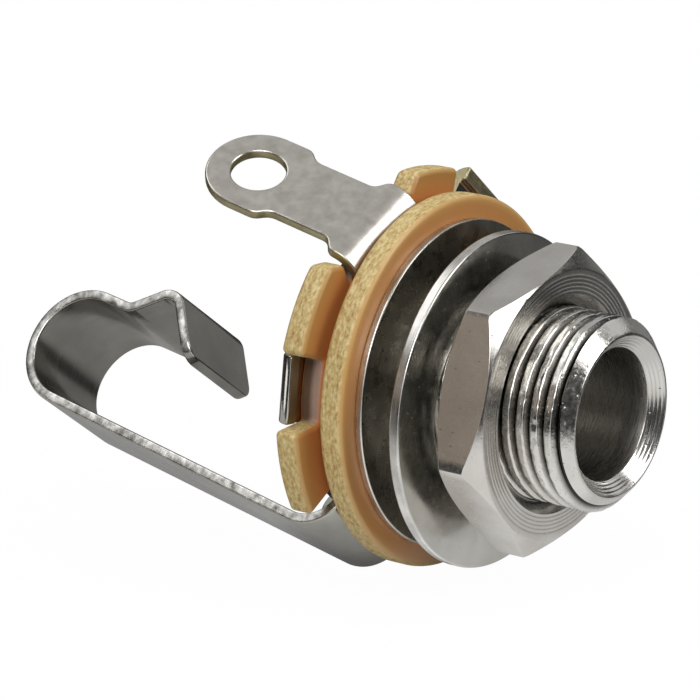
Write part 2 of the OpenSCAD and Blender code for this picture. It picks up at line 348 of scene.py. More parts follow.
def turn(name, outline):
    """Turns an outline of (radius, y) points on the jack's axis, one ring of edges at a time."""
    deselect()
    radius, y = outline[0]
    bpy.ops.mesh.primitive_circle_add(vertices=SEGMENTS, radius=radius * MM, fill_type="NOTHING",
                                      location=(0, y * MM, 0), rotation=(math.radians(90), 0, 0))
    piece = bpy.context.object
    piece.name = piece.data.name = name
    bpy.ops.object.transform_apply(location=True, rotation=True, scale=True)
    edit(piece)
    for (r0, y0), (r1, y1) in zip(outline, outline[1:]):
        bpy.ops.mesh.extrude_edges_move(TRANSFORM_OT_translate={"value": (0, (y1 - y0) * MM, 0)})
        bpy.ops.transform.resize(value=(r1 / r0, 1, r1 / r0), center_override=(0, y1 * MM, 0))
    bpy.ops.object.mode_set(mode="OBJECT")
    return piece


def arc(centre, radius, start, end, steps=EDGE_STEPS):
    """Points of an arc in the (radius, y) plane, between two angles in degrees."""
    angles = [math.radians(start + (end - start) * k / steps) for k in range(steps + 1)]
    return [(centre[0] + radius * math.cos(a), centre[1] + radius * math.sin(a)) for a in angles]


def rounded_ring(hole_r, rim_r, front, back, edge):
    """Outline of a flat ring whose four edges are rounded, closed on itself."""
    inner, outer = hole_r + edge, rim_r - edge
    points = (arc((inner, front + edge), edge, 180, 270)
              + [(inner + FLAT_MARGIN, front), (outer - FLAT_MARGIN, front)]
              + arc((outer, front + edge), edge, 270, 360)
              + [(rim_r, front + edge + FLAT_MARGIN), (rim_r, back - edge - FLAT_MARGIN)]
              + arc((outer, back - edge), edge, 0, 90)
              + [(outer - FLAT_MARGIN, back), (inner + FLAT_MARGIN, back)]
              + arc((inner, back - edge), edge, 90, 180))
    return points + points[:1]


def deburred(name, node, width, segments, keeps=None):
    """A copy of a CAD node with its sharp edges rounded, as tumbling leaves them, but for those it keeps."""
    source = frame["nodes"][node]
    pick(source)
    bpy.ops.object.duplicate()
    piece = bpy.context.object
    piece.name = piece.data.name = name
    piece.data.materials.clear()
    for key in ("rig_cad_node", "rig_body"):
        if key in piece:
            del piece[key]
    piece.parent = None
    edit(piece)
    bpy.ops.mesh.select_mode(type="EDGE")
    bpy.ops.mesh.remove_doubles(threshold=SAME_POINT * MM)
    bpy.ops.mesh.dissolve_limited(angle_limit=FLAT_ANGLE)
    bpy.ops.mesh.remove_doubles(threshold=SHORTEST_EDGE * MM)
    bpy.ops.mesh.select_all(action="DESELECT")
    bpy.ops.mesh.edges_select_sharp(sharpness=SHARP_ANGLE)
    bpy.ops.object.mode_set(mode="OBJECT")
    points = piece.data.vertices
    for face in piece.data.polygons:
        face.select = False
    for side in piece.data.edges:
        if keeps and keeps(*(points[k].co for k in side.vertices)):
            side.select = False
    bpy.ops.object.mode_set(mode="EDIT")
    bpy.ops.mesh.bevel(offset=width * MM, segments=segments, profile=0.5, clamp_overlap=False)
    bpy.ops.mesh.select_mode(type="VERT")
    bpy.ops.object.mode_set(mode="OBJECT")
    return piece


def in_stack(one, other):
    """Whether an edge has an end inside the stack, where nothing shows."""
    return min(math.hypot(one.x, one.z), math.hypot(other.x, other.z)) < STACK_R * MM


def paint(piece, materials, finish=None):
    """Gives a piece its materials, and each face the one that finish(face) names."""
    for material in materials:
        piece.data.materials.append(material)
    if finish:
        for face in piece.data.polygons:
            face.material_index = materials.index(finish(face))


def stands_for(piece, body, slot, *nodes):
    """The piece takes the place of CAD nodes, on their body. Slot is not used."""
    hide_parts(*nodes)
    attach(piece, body)


# Materials

def linear(hex_colour):
    """An sRGB hex colour as linear RGBA."""
    def channel(text):
        value = int(text, 16) / 255
        return value / 12.92 if value <= 0.04045 else ((value + 0.055) / 1.055) ** 2.4
    return (*(channel(hex_colour[i:i + 2]) for i in (1, 3, 5)), 1)


def add(tree, kind, inputs=None, stops=(), **settings):
    """Adds a node with its settings, input values, links and colour stops."""
    made = tree.nodes.new(kind)
    for key, value in settings.items():
        setattr(made, key, value)
    for key, value in (inputs or {}).items():
        if isinstance(value, bpy.types.NodeSocket):
            tree.links.new(value, made.inputs[key])
        else:
            made.inputs[key].default_value = value
    for k, (place, colour) in enumerate(stops):
        elements = made.color_ramp.elements
        element = elements[k] if k < len(elements) else elements.new(place)
        element.position = place
        element.color = colour
    return made


def grey(value):
    """A neutral linear colour."""
    return (value, value, value, 1)


def per_mm(size):
    """A pattern's scale in the object's metres, from the size of one feature in millimetres."""
    return 1 / (size * MM)


def new_material(name):
    """A node material with an empty tree and its output."""
    made = bpy.data.materials.new(name)
    made.use_nodes = True
    tree = made.node_tree
    tree.nodes.clear()
    return made, tree, add(tree, "ShaderNodeOutputMaterial")


def axis_distance(tree, place):
    """Distance of a place from the jack's axis."""
    flat = add(tree, "ShaderNodeVectorMath", {0: place, 1: (1, 0, 1)}, operation="MULTIPLY")
    return add(tree, "ShaderNodeVectorMath", {0: flat.outputs[0]}, operation="LENGTH").outputs["Value"]


def nickel(name, tint, gloss, grain, depth, clock=0, cloud=2.4, pits=None, groove_shade=None):
    """Nickel plate on brass: a warm grey metal, its gloss broken up by the marks below the plating.

    Tint is its darkest and lightest colour, in clouds of a size, and gloss its least and greatest roughness.
    Grain is the size of the marks (round the axis, along it, outwards from it) at a clock angle.
    Depth is how deep they are.
    Pits are (distance apart, depth). The groove shade is the colour of painted shade down in the grooves,
    which fades out between two radii from the axis."""
    made, tree, output = new_material(name)
    place = add(tree, "ShaderNodeTexCoord").outputs["Object"]
    marks = add(tree, "ShaderNodeMapping", {"Vector": place, "Rotation": (0, clock, 0),
                                            "Scale": [size * MM for size in grain]}, vector_type="TEXTURE")
    marks = add(tree, "ShaderNodeTexNoise", {"Vector": marks.outputs[0], "Scale": 1, "Detail": 4,
                                             "Roughness": 0.6}).outputs["Fac"]
    clouds = add(tree, "ShaderNodeTexNoise", {"Vector": place, "Scale": per_mm(cloud), "Detail": 4})
    bright, dull = gloss
    rough = add(tree, "ShaderNodeValToRGB", {0: marks}, [(0.3, grey(bright)), (0.7, grey(dull))]).outputs[0]
    dark, light = (linear(colour) for colour in tint)
    colour = add(tree, "ShaderNodeValToRGB", {0: clouds.outputs["Fac"]}, [(0.3, dark), (0.7, light)])
    colour = colour.outputs[0]
    # Painted shade darkens the thread down in its grooves
    if groove_shade:
        root, flank = GROOVE_SHADE_R
        out_of_groove_shade = add(tree, "ShaderNodeMapRange", {0: axis_distance(tree, place), 1: root * MM, 2: flank * MM})
        colour = add(tree, "ShaderNodeMix", {0: out_of_groove_shade.outputs[0], 6: linear(groove_shade), 7: colour},
                     data_type="RGBA").outputs[2]
    relief = add(tree, "ShaderNodeBump", {"Height": marks, "Strength": 0.5, "Distance": depth * MM})
    if pits:
        apart, pit_depth = pits
        dots = add(tree, "ShaderNodeTexVoronoi", {"Vector": place, "Scale": per_mm(apart)})
        dots = add(tree, "ShaderNodeValToRGB", {0: dots.outputs["Distance"]},
                   [(0.03, grey(0)), (0.15, grey(1))])
        relief = add(tree, "ShaderNodeBump", {"Height": dots.outputs[0], "Strength": 0.6,
                                              "Distance": pit_depth * MM, "Normal": relief.outputs[0]})
    shader = add(tree, "ShaderNodeBsdfPrincipled", {"Base Color": colour, "Metallic": 1, "Roughness": rough,
                                                    "Normal": relief.outputs[0]})
    tree.links.new(shader.outputs[0], output.inputs[0])
    return made


def phenolic(name, rim_r, resin_and_shade):
    """Phenolic paper board: binder-rich faces with a soft gloss, and punched edges of pale fibrous paper.

    Resin_and_shade is the faces' colours from the rim inwards, with painted light and shade, as (share of the
    depth over which they change, colour)."""
    made, tree, output = new_material(name)
    coordinates = add(tree, "ShaderNodeTexCoord")
    place, normal = coordinates.outputs["Object"], coordinates.outputs["Normal"]
    across = add(tree, "ShaderNodeSeparateXYZ", {0: normal}).outputs["Y"]
    across = add(tree, "ShaderNodeMath", {0: across}, operation="ABSOLUTE").outputs[0]
    face = add(tree, "ShaderNodeValToRGB", {0: across}, [(0.25, grey(0)), (0.8, grey(1))]).outputs[0]
    parts = add(tree, "ShaderNodeSeparateXYZ", {0: place}).outputs
    reach = axis_distance(tree, place)
    angle = add(tree, "ShaderNodeMath", {0: parts["X"], 1: parts["Z"]}, operation="ARCTAN2").outputs[0]
    # The paper's fibres run round the rim
    round_rim = add(tree, "ShaderNodeMath", {0: angle, 1: rim_r / FIBRE_STRETCH * MM}, operation="MULTIPLY")
    rim_place = add(tree, "ShaderNodeCombineXYZ", {0: round_rim.outputs[0], 1: parts["Y"], 2: reach})
    fibres = add(tree, "ShaderNodeTexNoise", {"Vector": rim_place.outputs[0], "Scale": per_mm(FIBRE_SIZE),
                                              "Detail": 3, "Roughness": 0.65}).outputs["Fac"]
    # The faces carry painted light near the rim and painted shade further in
    inwards = add(tree, "ShaderNodeMapRange", {0: reach, 1: rim_r * MM, 2: (rim_r - FACE_SHADE_DEPTH) * MM})
    resin_and_shade = add(tree, "ShaderNodeValToRGB", {0: inwards.outputs[0]},
                [(share, linear(colour)) for share, colour in resin_and_shade]).outputs[0]
    paper = add(tree, "ShaderNodeValToRGB", {0: fibres},
                [(0.3, linear("#a0743e")), (0.46, linear("#bca268")), (0.66, linear("#d8c690"))]).outputs[0]
    # The floors of the notches carry a painted shadow of the tab, which turns to a painted lit strip towards
    # the front
    start, end = NOTCH_SHADOW_Y
    out_of_shadow = add(tree, "ShaderNodeMapRange", {0: parts["Y"], 1: start * MM, 2: end * MM}).outputs[0]
    floor_shadow = add(tree, "ShaderNodeValToRGB", {0: out_of_shadow}, [(0, linear("#58402e")), (1, linear("#9a8072"))])
    floor_r, open_r = NOTCH_R
    open_rim = add(tree, "ShaderNodeMapRange", {0: reach, 1: floor_r * MM, 2: open_r * MM}).outputs[0]
    paper = add(tree, "ShaderNodeMix", {0: open_rim, 6: floor_shadow.outputs[0], 7: paper},
                data_type="RGBA").outputs[2]
    colour = add(tree, "ShaderNodeMix", {0: face, 6: paper, 7: resin_and_shade}, data_type="RGBA").outputs[2]
    rough = add(tree, "ShaderNodeValToRGB", {0: face}, [(0, grey(0.62)), (1, grey(0.34))]).outputs[0]
    # Pits between the fibres, on the punched edges only
    pits = add(tree, "ShaderNodeValToRGB", {0: fibres}, [(0.3, grey(0)), (0.5, grey(1))]).outputs[0]
    edge = add(tree, "ShaderNodeMath", {0: 1.0, 1: face}, operation="SUBTRACT").outputs[0]
    relief = add(tree, "ShaderNodeMath", {0: pits, 1: edge}, operation="MULTIPLY").outputs[0]
    relief = add(tree, "ShaderNodeBump", {"Height": relief, "Strength": 0.5, "Distance": 0.025 * MM})
    shader = add(tree, "ShaderNodeBsdfPrincipled", {"Base Color": colour, "Roughness": rough, "IOR": 1.55,
                                                    "Normal": relief.outputs[0]})
    tree.links.new(shader.outputs[0], output.inputs[0])
    return made


def fibre(name):
    """Rolled fibre paper: matt and buff, with fine flecks."""
    made, tree, output = new_material(name)
    place = add(tree, "ShaderNodeTexCoord").outputs["Object"]
    flecks = add(tree, "ShaderNodeTexNoise", {"Vector": place, "Scale": per_mm(0.2), "Detail": 3})
    colour = add(tree, "ShaderNodeValToRGB", {0: flecks.outputs["Fac"]},
                 [(0.3, linear("#a58a5e")), (0.7, linear("#cbb48a"))])
    shader = add(tree, "ShaderNodeBsdfPrincipled", {"Base Color": colour.outputs[0], "Roughness": 0.8})
    tree.links.new(shader.outputs[0], output.inputs[0])
    return made


# Bright nickel on turned brass: near mirror, with ring marks and a few pits that sparkle
TURNED = nickel("turned_bright_nickel", ("#cac7c1", "#dad8d4"), (0.15, 0.3), (1.6, 0.08, 1.6), 0.005,
                pits=(0.6, 0.02))
# The same plate on a cut thread: crests bright and torn, with dark painted shade down in the grooves
THREADED = nickel("threaded_nickel", ("#c6c3bd", "#dad8d4"), (0.12, 0.28), (0.17, 0.17, 0.17), 0.02,
                  pits=(0.25, 0.04), groove_shade="#3a3733")
# The bore: darker than the outside with painted shade, a little duller, with the drill's ring marks
BORE = nickel("bored_nickel_painted_shade", ("#b8b5b0", "#c8c5c0"), (0.2, 0.34), (1.6, 0.08, 1.6), 0.004)
# Mouth of the bushing, torn by the chamfering tool: bright, flecked and pitted
MOUTH = nickel("chamfered_nickel", ("#c6c3bd", "#dad8d4"), (0.14, 0.3), (0.24, 0.24, 0.24), 0.028,
               pits=(0.3, 0.03))
# Stamped and tumbled washer: flat mirror with a faint unevenness
STAMPED = nickel("stamped_bright_nickel", ("#b8b6b0", "#c8c6c0"), (0.14, 0.28), (0.5, 0.5, 0.5), 0.003)
# Tumbled rims of washer and flange: bright lines that run round them
RIM = nickel("tumbled_nickel_rim", ("#b0aea8", "#e6e4e0"), (0.2, 0.36), (1.6, 0.1, 1.6), 0.006, cloud=1.4)
# Flange face: darker with painted shade of its gap behind the washer, cloudy, with an uneven gloss
FLANGE = nickel("turned_flange_nickel_painted_shade", ("#908c80", "#b6b2a6"), (0.2, 0.38), (0.9, 0.9, 0.9), 0.004,
                cloud=1.6)
# Milled nut: softer gloss, flecked by the cutter
NUT = nickel("milled_nickel", ("#c2beb8", "#d2cfca"), (0.17, 0.28), (0.14, 0.14, 0.14), 0.003,
             pits=(0.5, 0.008))
# Rolled sheet of the lug: satin, with fine marks along the strip, drawn wider than the real ones
SHEET = nickel("rolled_nickel_sheet", ("#b8b3ab", "#d2cec7"), (0.27, 0.33), (0.09, 1.6, 1.6), 0.001,
               clock=LUG_CLOCK, cloud=0.6)
# Polished sheet of the sleeve terminal: dark mirror with sharp bright lines on its bends
TAB = nickel("polished_nickel_sheet", ("#b4b0a8", "#c6c2ba"), (0.08, 0.16), (0.2, 0.2, 0.2), 0.003)
# Spring strip: satin, greyer than the lug with painted shade, with soft marks along the strip, drawn wider
# than the real ones
SPRING = nickel("spring_nickel_painted_shade", ("#9e9c95", "#b6b4ad"), (0.18, 0.28), (0.12, 2.4, 2.4), 0.002,
                clock=SPRING_CLOCK)
# Sheared edge of the plated strip: cross marks of the shear, with bright and dull stretches
SHEARED = nickel("sheared_nickel_edge", ("#6e6c66", "#f6f4f0"), (0.24, 0.42), (1.2, 0.12, 1.2), 0.016,
                 clock=SPRING_CLOCK, cloud=0.5)
# Sheared edge with the brass half showing: olive and rough
BRASS_EDGE = nickel("sheared_brass_edge", ("#968c6c", "#beb694"), (0.36, 0.56), (0.2, 0.2, 0.2), 0.02)
# Front disc of phenolic paper: amber face, paler near the rim with painted light and browning inwards with
# painted shade, and a pale rim flecked with fibres
FRONT_BOARD = phenolic("phenolic_board_front", FRONT_DISC_R,
                       [(0, "#c49e60"), (0.25, "#b8824a"), (1, "#a87040")])
# Rear disc of the same board: a face paler near the rim with painted light, turning orange inwards and
# lighter again further in with painted light against the gap's shade, and the same pale rim
REAR_BOARD = phenolic("phenolic_board_rear", REAR_DISC_R,
                      [(0, "#b8945a"), (0.15, "#a87a40"), (0.35, "#b07a42"), (0.65, "#be7a42"),
                       (1, "#c87c42")])
# Spacer tube of rolled fibre paper: matt buff, with darker flecks
FIBRE = fibre("rolled_fibre_paper")


# Pieces

def end_cone(y):
    """Radius of the chamfer that runs back from the mouth's lip at 45 degrees."""
    return LIP_R + y - MOUTH_Y


def threaded_sleeve():
    """The barrel's thread: one pitch of its outline, screwed along the axis, chamfered and faded out."""
    deselect()
    bpy.ops.mesh.primitive_circle_add(vertices=len(THREAD_FORM) + 1, radius=MM, fill_type="NOTHING")
    piece = bpy.context.object
    piece.name = piece.data.name = "thread"
    edit(piece)
    bpy.ops.mesh.delete(type="EDGE_FACE")
    bpy.ops.object.mode_set(mode="OBJECT")
    start = THREAD_CREST - CREST_SHARE * PITCH - THREAD_RUN_IN * PITCH
    points = [(start + share * PITCH, THREAD_R - THREAD_DEPTH * (1 - height))
              for share, height in THREAD_FORM]
    points.append((start + PITCH, points[0][1]))
    mesh = piece.data
    for vertex, (y, radius) in zip(mesh.vertices, points):
        vertex.co = (0, y * MM, radius * MM)
    mesh.edges.add(len(points) - 1)
    for k, edge in enumerate(mesh.edges):
        edge.vertices = (k, k + 1)
    screw = piece.modifiers.new("screw", "SCREW")
    screw.axis = "Y"
    screw.angle = math.radians(360)
    screw.screw_offset = PITCH * MM
    screw.iterations = math.ceil((THREAD_BACK - start) / PITCH) + 1
    screw.steps = screw.render_steps = SEGMENTS
    screw.use_merge_vertices = True
    screw.merge_threshold = SAME_POINT / 2 * MM
    bpy.ops.object.modifier_apply(modifier="screw")
    for vertex in piece.data.vertices:
        x, y, z = vertex.co / MM
        y = min(max(y, THREAD_FRONT), THREAD_BACK)
        radius = math.hypot(x, z)
        # The height fades softly at both ends of the fade
        fade = min(1, (THREAD_BACK - y) / THREAD_FADE)
        fade = fade * fade * (3 - 2 * fade)
        # Chips and unevenness grow from the root to the crest
        chip = CHIP_DEPTH * min(0, noise.noise(Vector((x, y, z)) / CHIP))
        chip += WAVE_DEPTH * noise.noise(Vector((x, y, z)) / WAVE)
        height = 1 - (THREAD_R - radius) / THREAD_DEPTH
        wanted = THREAD_PLAIN_R + (radius + chip * height - THREAD_PLAIN_R) * fade
        scale = min(wanted, end_cone(y)) / radius
        vertex.co = Vector((x * scale, y, z * scale)) * MM
    return piece


def bushing():
    """Turned bushing: threaded barrel with a chamfered mouth, flange, spigot and rolled rim."""
    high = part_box("bushing")[1]
    mouth, rear = MOUTH_Y, high.y / MM
    flange_r = high.x / MM
    flange_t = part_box("front_insulator")[0].y / MM
    stack_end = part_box("rear_insulator")[1].y / MM + TERMINAL_T
    plain = THREAD_PLAIN_R
    corner = plain + UNDERCUT_CORNER
    edge = flange_r - FLANGE_EDGE
    front = ([(plain, THREAD_BACK), (plain - UNDERCUT, THREAD_BACK + UNDERCUT), (plain - UNDERCUT, -UNDERCUT),
              (corner, 0), (corner + FLAT_MARGIN, 0), (edge - FLAT_MARGIN, 0)]
             + arc((edge, FLANGE_EDGE), FLANGE_EDGE, 270, 360)
             + [(flange_r, FLANGE_EDGE + FLAT_MARGIN), (flange_r, flange_t - FLANGE_EDGE - FLAT_MARGIN)]
             + arc((edge, flange_t - FLANGE_EDGE), FLANGE_EDGE, 0, 90)
             + [(edge - FLAT_MARGIN, flange_t)])
    back = ([(SPIGOT_R, flange_t), (SPIGOT_R, stack_end), (ROLL_FOOT_R, stack_end)]
            + arc((ROLL_MIDDLE_R, stack_end + ROLL_MIDDLE), ROLL_EDGE, -50, 90, ROLL_STEPS)
            + [(r, rear - depth) for r, depth in SPIGOT_END])
    bore_end = back[-1][1]
    bore = ([(BORE_R, bore_end - k * BORE_STEP) for k in range(1, BORE_RINGS + 1)]
            + [(BORE_R, mouth + LEAD_IN + BORE_GAP)])
    lead_in = []
    for k in range(LEAD_IN_STEPS + 1):
        share = k / LEAD_IN_STEPS
        mark = MARK_DEPTH * math.sin(math.tau * k / MARK_STEPS)
        lead_in.append((LEAD_IN_R + LEAD_IN_W * share,
                        mouth + LEAD_IN * (1 - share) + LEAD_IN_LIP * share + mark))
    lip = [(r, mouth + depth) for r, depth in LIP]
    chamfer = [(end_cone(y), y) for y in [mouth + depth for depth in CHAMFER_RINGS] + [THREAD_FRONT]]
    body = turn("bushing_turned", front + back + bore + lead_in + lip + chamfer)
    weld(body, threaded_sleeve(), THREAD_WELD)
    smooth(body, 40)

    def finish(face):
        y, reach = face.center.y / MM, math.hypot(face.center.x, face.center.z) / MM
        if THREAD_FRONT < y < THREAD_BACK and reach > SPIGOT_R:
            return MOUTH if reach > end_cone(y) - NEAR_CHAMFER else THREADED
        if reach > flange_r - NEAR_RIM:
            return RIM
        if abs(y) < NEAR_FACE and reach > plain:
            return FLANGE
        if y < THREAD_FRONT and reach > TORN_R:
            return MOUTH
        if reach < BORE_R + NEAR_FACE and y > mouth + LEAD_IN:
            return BORE
        return TURNED

    paint(body, (TURNED, THREADED, FLANGE, RIM, MOUTH, BORE), finish)
    stands_for(body, "socket", "nickel_bushing", "bushing")


def hexagon_radius(angle):
    """Distance from the axis to the nut's side at a clock angle, with its corners a little rounded."""
    total = sum(max(0, math.cos(angle - NUT_CLOCK - math.radians(30 + 60 * k))) ** NUT_CORNER_SHARPNESS
                for k in range(6))
    return NUT_APOTHEM / total ** (1 / NUT_CORNER_SHARPNESS)


def hexagon_nut():
    """Nut: a turned blank with tool grooves on its faces, milled to six flats."""
    low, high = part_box("hex_nut")
    front, back = low.y / MM, high.y / MM
    middle = (front + back) / 2
    corner = NUT_APOTHEM / math.cos(math.radians(30))
    reach = corner - NUT_FACE_R
    rise = math.tan(NUT_CHAMFER)
    first = NUT_SINK_R + GROOVE_INNER_FLAT
    count = int((NUT_FACE_R - GROOVE_OUTER_FLAT - first) / GROOVE_PITCH)
    grooves = []
    for k in range(count * GROOVE_STEPS + 1):
        share = k / GROOVE_STEPS
        depth = GROOVE_DEPTH * (0.5 - 0.5 * math.cos(math.tau * share))
        grooves.append((first + GROOVE_PITCH * share, depth))
    # One half of the blank's outline, as (radius, depth behind the nut's face)
    half = ([(NUT_BORE_R, NUT_SINK)] + [(NUT_SINK_R + out, depth) for out, depth in NUT_SINK_EDGE] + grooves
            + [(NUT_FACE_R - NUT_EDGE, 0), (NUT_FACE_R, NUT_RIM_DROP)]
            + [(NUT_FACE_R + reach * share, reach * share * rise + NUT_RIM_DROP)
               for share in NUT_CHAMFER_RINGS]
            + [(corner, reach * rise + NUT_EDGE)])
    outline = ([(r, front + depth) for r, depth in half] + [(corner, middle)]
               + [(r, back - depth) for r, depth in reversed(half)] + [(NUT_BORE_R, front + NUT_SINK)])
    nut = turn("nut_milled", outline)
    nut.data.transform(Matrix.Rotation(NUT_CLOCK, 4, "Y"))
    for vertex in nut.data.vertices:
        x, y, z = vertex.co / MM
        radius = math.hypot(x, z)
        if radius > NUT_FACE_R + SAME_POINT:
            share = (hexagon_radius(math.atan2(x, z)) - NUT_FACE_R) / reach
            scale = (NUT_FACE_R + (radius - NUT_FACE_R) * share) / radius
            if y < middle - SAME_POINT:
                y = front + (y - front) * share
            elif y > middle + SAME_POINT:
                y = back - (back - y) * share
            vertex.co = Vector((x * scale, y, z * scale)) * MM
    close_up(nut)
    smooth(nut, 24)
    paint(nut, (NUT,))
    stands_for(nut, "nut", "nickel_nut", "hex_nut")


def washer():
    """Flat washer with the rounded edges of a tumbled stamping, hanging a little low on the barrel."""
    low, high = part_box("flat_washer")
    rim = (high.z - low.z) / 2 / MM
    drop = -(high.z + low.z) / 2 / MM
    piece = turn("washer_stamped", rounded_ring(WASHER_HOLE_R, rim, low.y / MM, high.y / MM, WASHER_EDGE))
    piece.data.transform(Matrix.Translation((0, 0, -drop * MM)))
    close_up(piece)
    smooth(piece, 30)

    def finish(face):
        reach = math.hypot(face.center.x, face.center.z + drop * MM)
        return RIM if reach > (rim - NEAR_RIM) * MM else STAMPED

    paint(piece, (STAMPED, RIM), finish)
    stands_for(piece, "washer", "nickel_washer", "flat_washer")


def discs():
    """The two insulating discs, with the edges that punching leaves."""
    low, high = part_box("front_insulator")
    ring = rounded_ring(DISC_HOLE_R, high.x / MM, low.y / MM, high.y / MM, FRONT_DISC_EDGE)
    plain = turn("disc_plain", ring)
    close_up(plain)
    smooth(plain, 30)
    paint(plain, (FRONT_BOARD,))
    stands_for(plain, "socket", "phenolic_front", "front_insulator")
    notched = deburred("disc_notched", "rear_insulator", REAR_DISC_EDGE, 5)
    hold_normals(notched, 30)
    paint(notched, (REAR_BOARD,))
    stands_for(notched, "socket", "phenolic_rear", "rear_insulator")


def ahead(heading):
    """Direction of a heading in the strip's side view: outward at 0 degrees, to the rear at 90."""
    return Vector((0, math.sin(math.radians(heading)), math.cos(math.radians(heading))))


def bend_centre(place, heading, angle, inside_r):
    """Centre of a bend of the strip, from the place where the bend starts on the strip's first face."""
    radius = inside_r + STRIP_T if angle > 0 else -inside_r
    return place + radius * ahead(heading + 90)


def follow(place, heading, bend):
    """Place and heading after a straight length and a bend of the strip."""
    length, angle, inside_r = bend
    place = place + length * ahead(heading)
    centre = bend_centre(place, heading, angle, inside_r)
    return centre + Matrix.Rotation(math.radians(-angle), 3, "X") @ (place - centre), heading + angle


def draw_out(step):
    """Extrudes what is selected by a step in millimetres."""
    bpy.ops.mesh.extrude_region_move(TRANSFORM_OT_translate={"value": step * MM})


def sweep(name, place, heading):
    """The spring's strip with its rounded edges, drawn out along its straight lengths and bends."""
    deselect()
    middle = place + STRIP_T / 2 * ahead(heading + 90)
    bpy.ops.mesh.primitive_plane_add(size=1)
    piece = bpy.context.object
    piece.name = piece.data.name = name
    piece.data.transform(Matrix.Diagonal((SPRING_W * MM, STRIP_T * MM, 1, 1)))
    edit(piece)
    bpy.ops.mesh.bevel(offset=STRIP_EDGE * MM, segments=STRIP_EDGE_STEPS, affect="VERTICES")
    bpy.ops.object.mode_set(mode="OBJECT")
    piece.data.transform(Matrix.Translation(middle * MM)
                         @ Matrix.Rotation(math.radians(-heading), 4, "X"))
    edit(piece)
    for length, angle, inside_r in SPRING_BENDS:
        steps = math.ceil(abs(angle) / BEND_STEP)
        draw_out(length * ahead(heading))
        place = place + length * ahead(heading)
        centre = bend_centre(place, heading, angle, inside_r)
        for k in range(steps):
            draw_out(Vector((0, 0, 0)))
            bpy.ops.transform.rotate(value=math.radians(angle / steps), orient_axis="X",
                                     center_override=centre * MM)
        place, heading = follow(place, heading, (0, angle, inside_r))
    draw_out((RAMP_LEN - RAMP_CORNER_R) * ahead(heading))
    tip_w = SPRING_W
    one_step = math.radians(90 / RAMP_CORNER_STEPS)
    for k in range(1, RAMP_CORNER_STEPS + 1):
        angle = k * one_step
        width = SPRING_W - 2 * RAMP_CORNER_R * (1 - math.cos(angle))
        draw_out(RAMP_CORNER_R * (math.sin(angle) - math.sin(angle - one_step)) * ahead(heading))
        bpy.ops.transform.resize(value=(width / tip_w, 1, 1))
        tip_w = width
    bpy.ops.object.mode_set(mode="OBJECT")
    return piece


def tip_contact():
    """Tip contact: satin lug, spring greyer with painted shade, and the sheared edges of the strip."""
    place, heading = follow(Vector((0, STRIP_FRONT, FOOT_R)), 0, FOOT_BEND)
    place = place + FOOT_TAIL * ahead(heading)
    to_clock = Matrix.Rotation(SPRING_CLOCK, 4, "Y")
    cut, along = to_clock @ (place * MM), to_clock @ ahead(heading)

    def on_cut(point):
        return abs((point - cut).dot(along)) < NEAR_CUT * MM and point.dot(clock_direction(SPRING_CLOCK)) > 0

    def keeps(one, other):
        return in_stack(one, other) or on_cut(one) and on_cut(other)

    piece = deburred("contact_tip", "tip_contact", STRIP_EDGE, STRIP_EDGE_STEPS, keeps)
    spring = sweep("contact_spring", place, heading)
    spring.data.transform(to_clock)
    # The two end faces at the cut go, so that foot and spring are one strip
    for part in (piece, spring):
        points = part.data.vertices
        edit(part)
        bpy.ops.mesh.select_all(action="DESELECT")
        bpy.ops.object.mode_set(mode="OBJECT")
        for face in part.data.polygons:
            face.select = all(on_cut(points[k].co) for k in face.vertices)
        bpy.ops.object.mode_set(mode="EDIT")
        bpy.ops.mesh.select_mode(type="FACE")
        bpy.ops.mesh.delete(type="ONLY_FACE")
        bpy.ops.mesh.select_mode(type="VERT")
    weld(piece, spring, STRIP_WELD)
    hold_normals(piece, 32)
    lug_side, spring_side = clock_tangent(LUG_CLOCK), clock_tangent(SPRING_CLOCK)
    lug_normal = clock_direction(LUG_CLOCK) * math.cos(LUG_LEAN) - Vector((0, 1, 0)) * math.sin(LUG_LEAN)

    def finish(face):
        if face.center.z > LUG_FOOT_Z * MM:
            if face.center.y < LUG_BEND_Y * MM:
                sheared = abs(face.normal.dot(lug_side)) > LUG_SIDEWAYS
            else:
                sheared = abs(face.normal.dot(lug_normal)) < LUG_SIDEWAYS
            return BRASS_EDGE if sheared else SHEET
        return SHEARED if abs(face.normal.dot(spring_side)) > SPRING_SIDEWAYS else SPRING

    paint(piece, (SHEET, SPRING, SHEARED, BRASS_EDGE), finish)
    stands_for(piece, "socket", "nickel_contact", "tip_contact", "tip_spring")


def sleeve_terminal():
    """Sleeve terminal: polished sheet with two keyed tabs, brass on their sheared edges, and a solder lug."""
    piece = deburred("terminal_sleeve", "sleeve_terminal", STRIP_EDGE, STRIP_EDGE_STEPS, in_stack)
    hold_normals(piece, 30)

    def finish(face):
        outward = Vector((face.center.x, 0, face.center.z))
        if outward.length > TAB_R * MM and face.center.y < TAB_BACK * MM:
            return BRASS_EDGE if abs(face.normal.dot(outward.normalized())) < TAB_SIDEWAYS else TAB
        return TAB

    paint(piece, (TAB, BRASS_EDGE), finish)
    stands_for(piece, "socket", "nickel_terminal", "sleeve_terminal")


bushing()
hexagon_nut()
washer()
discs()
tip_contact()
sleeve_terminal()
tube = frame["nodes"]["spacer_tube"]
tube.data.materials.clear()
tube.data.materials.append(FIBRE)


# Studio

